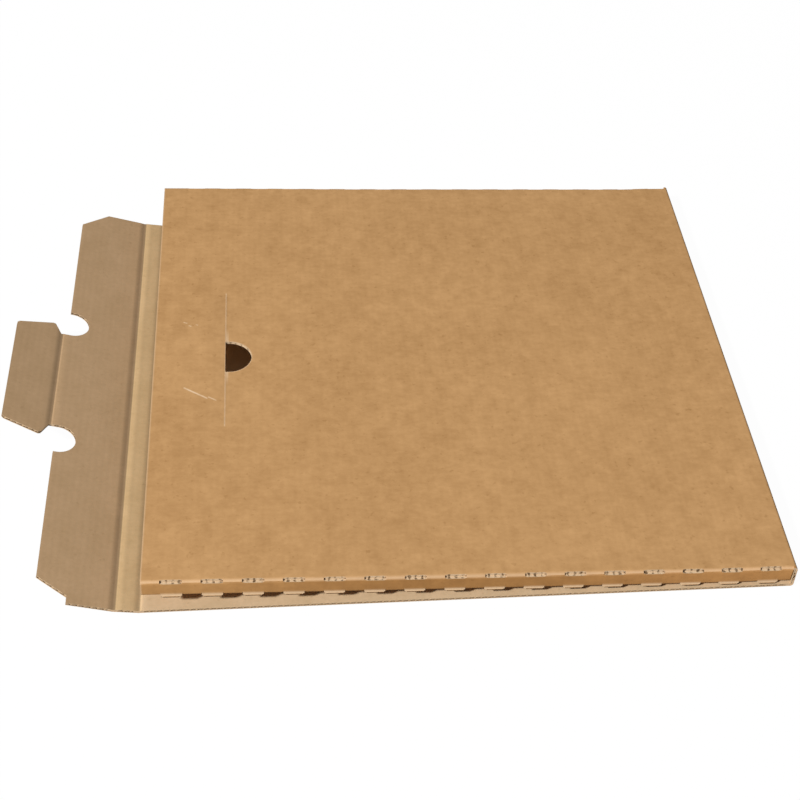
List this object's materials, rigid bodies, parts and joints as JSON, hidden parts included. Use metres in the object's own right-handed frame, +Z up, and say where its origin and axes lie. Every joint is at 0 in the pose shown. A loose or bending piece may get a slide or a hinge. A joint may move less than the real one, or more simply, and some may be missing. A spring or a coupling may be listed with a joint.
{
  "type": "flat corrugated mailing box for a twelve-inch record",
  "caption": "Flat die-cut corrugated mailer: base, creased spine, lid tray with cut-crease walls and tongues, slit with thumb hole, closing flap with notches and tuck tab.",
  "frame": {"origin": "on the ground under the middle of the closed tray, in the underside of the base panel", "axes": "+Z up; +X from the closing flap towards the spine, square to the hinge creases; +Y from the near wall to the far wall, along the creases"},
  "size_m": [0.4074, 0.3286, 0.0249],
  "materials": {
    "outer_liner": "matt brown kraft liner, softly mottled",
    "inner_liner": "matt grey-brown kraft liner",
    "raw_edge": "raw cut board with open flutes"
  },
  "bodies": {
    "base": {"base_panel": "inner_liner"},
    "spine": {"spine": "outer_liner"},
    "lid": {"lid_tray": "outer_liner"},
    "strip": {"closing_strip": "inner_liner"},
    "flap": {"closing_flap": "inner_liner"},
    "tab": {"tuck_tab": "inner_liner"}
  },
  "joints": [
    {"name": "spine_fold", "type": "hinge", "parent": "base", "child": "spine", "pos_m": [0.16265, 0, 0.0016], "axis": [0, 1, 0], "range_deg": [0, 90]},
    {"name": "lid_fold", "type": "hinge", "parent": "spine", "child": "lid", "pos_m": [0.16265, 0, 0.0122], "axis": [0, 1, 0], "range_deg": [-1.6, 88.4]},
    {"name": "strip_fold", "type": "hinge", "parent": "base", "child": "strip", "pos_m": [-0.16585, -0.00625, 0.0016], "axis": [0, -1, 0], "range_deg": [-81.8, 8.2]},
    {"name": "flap_fold", "type": "hinge", "parent": "strip", "child": "flap", "pos_m": [-0.17822, -0.00625, 0.00338], "axis": [0, -1, 0], "range_deg": [-81.2, 8.8]},
    {"name": "tab_fold", "type": "hinge", "parent": "flap", "child": "tab", "pos_m": [-0.21877, -0.00625, 0.01578], "axis": [0, 1, 0], "range_deg": [-4, 86]}
  ]
}
